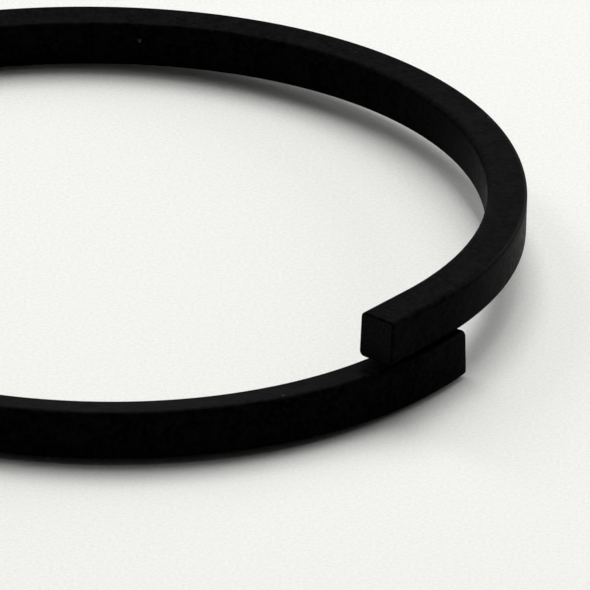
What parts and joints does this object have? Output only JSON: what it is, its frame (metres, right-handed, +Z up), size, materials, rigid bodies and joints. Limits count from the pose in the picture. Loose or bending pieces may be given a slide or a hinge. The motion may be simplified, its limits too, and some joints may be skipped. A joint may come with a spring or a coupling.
{
  "type": "piston seal ring",
  "caption": "Split piston seal ring of near-square section in filled PTFE, lying free with its raised cut end lapped over the seated one",
  "frame": {"origin": "on the floor under the ring, on the axis of the ring's circle", "axes": "+Z up along the ring's axis, -Y towards the viewer, +X to the right; the lapped ends are at the front right"},
  "size_m": [0.0648, 0.0661, 0.0074],
  "materials": {
    "filled_ptfe": "matte, faintly mottled, with fine turning marks"
  },
  "bodies": {
    "root": {"piston_ring": "filled_ptfe"}
  },
  "joints": []
}
